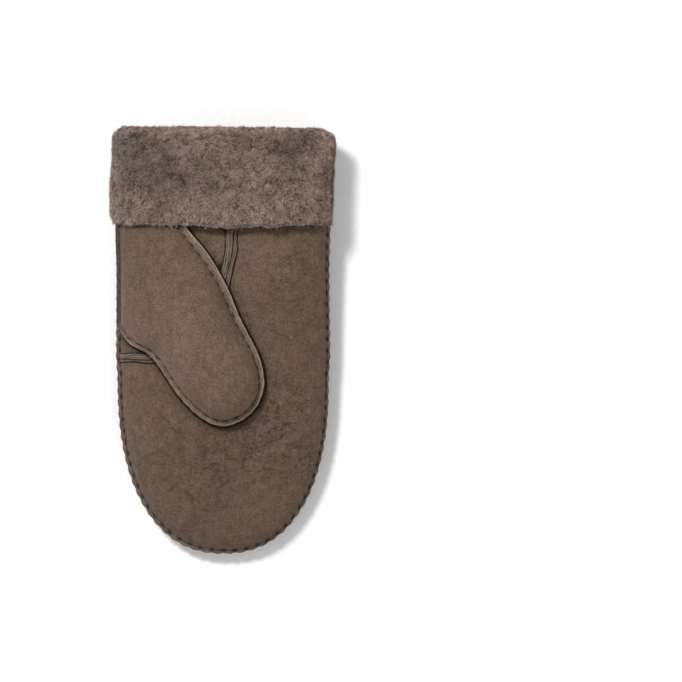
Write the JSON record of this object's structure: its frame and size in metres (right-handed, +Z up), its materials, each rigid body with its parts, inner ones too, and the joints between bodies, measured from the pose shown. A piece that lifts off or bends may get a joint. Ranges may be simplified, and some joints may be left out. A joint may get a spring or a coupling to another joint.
{
  "type": "mitten",
  "caption": "Right-hand sheepskin mitten, wool side in, with outward hand-sewn seams and a turned-back wool cuff, lying palm up with its thumb folded over the palm.",
  "frame": {"origin": "on the surface that the mitten lies on, below the middle of its outline", "axes": "+X towards the little-finger side, +Y from the fingertips to the cuff, +Z up out of the palm"},
  "size_m": [0.132, 0.2499, 0.0583],
  "materials": {
    "suede": "brown suede nap, matte",
    "wool": "sheared brown wool pile"
  },
  "bodies": {
    "root": {"back_panel": "suede", "palm_panel": "suede", "thumb_gusset": "suede", "thumb_panel": "suede", "cuff": "wool"}
  },
  "joints": []
}
